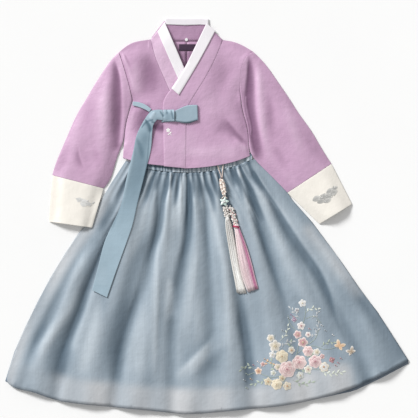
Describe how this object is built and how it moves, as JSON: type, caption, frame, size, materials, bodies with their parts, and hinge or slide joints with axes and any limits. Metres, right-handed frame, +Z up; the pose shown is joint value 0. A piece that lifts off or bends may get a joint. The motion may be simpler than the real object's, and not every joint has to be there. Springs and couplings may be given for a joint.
{
  "type": "korean hanbok",
  "caption": "Child's hanbok laid out flat: lilac wrap jacket with collar band, ribbon tie and cream cuffs over a gathered grey-blue skirt, with a tasselled ornament.",
  "frame": {"origin": "middle of the bounding box at its underside, on the surface the garment lies on", "axes": "+Z up out of the surface, the garment's front faces +Z; +Y from hem to collar; +X towards the wearer's left"},
  "size_m": [0.928, 0.91, 0.0197],
  "materials": {
    "lilac_silk": "soft satin silk-like cloth",
    "skirt_organza": "fine sheer cloth with a soft sheen",
    "skirt_lining": "matt lining",
    "blue_ribbon": "satin ribbon cloth",
    "white_strip": "stiff white cloth",
    "cream_cuff": "cream cloth",
    "dark_label": "bare woven label",
    "white_snap": "white press stud",
    "cream_cord": "knotted silk cord",
    "jade": "polished jade-coloured bead",
    "silver_bead": "silver-coloured beads",
    "cream_silk": "silk tassel strands",
    "pink_silk": "silk tassel strands"
  },
  "bodies": {
    "root": {"collar_back": "lilac_silk", "collar_left": "lilac_silk", "collar_right": "lilac_silk", "collar_strip_back": "white_strip", "collar_strip_left": "white_strip", "collar_strip_right": "white_strip", "cuff_left": "cream_cuff", "cuff_right": "cream_cuff", "jacket_back_left": "lilac_silk", "jacket_back_right": "lilac_silk", "jacket_front_left": "lilac_silk", "jacket_front_right": "lilac_silk", "neck_label": "dark_label", "neck_snap": "white_snap", "norigae_braid": "cream_cord", "norigae_cap_cream": "silver_bead", "norigae_cap_pink": "jade", "norigae_cord": "cream_cord", "norigae_star": "jade", "overlap_panel": "lilac_silk", "ribbon_knot": "blue_ribbon", "ribbon_loop": "blue_ribbon", "ribbon_short": "blue_ribbon", "ribbon_tail": "blue_ribbon", "skirt_back": "skirt_organza", "skirt_front": "skirt_organza", "skirt_lining": "skirt_lining", "sleeve_left": "lilac_silk", "sleeve_right": "lilac_silk", "tassel_cream": "cream_silk", "tassel_pink": "pink_silk", "waistband_back": "skirt_organza", "waistband_front": "skirt_organza"}
  },
  "joints": []
}
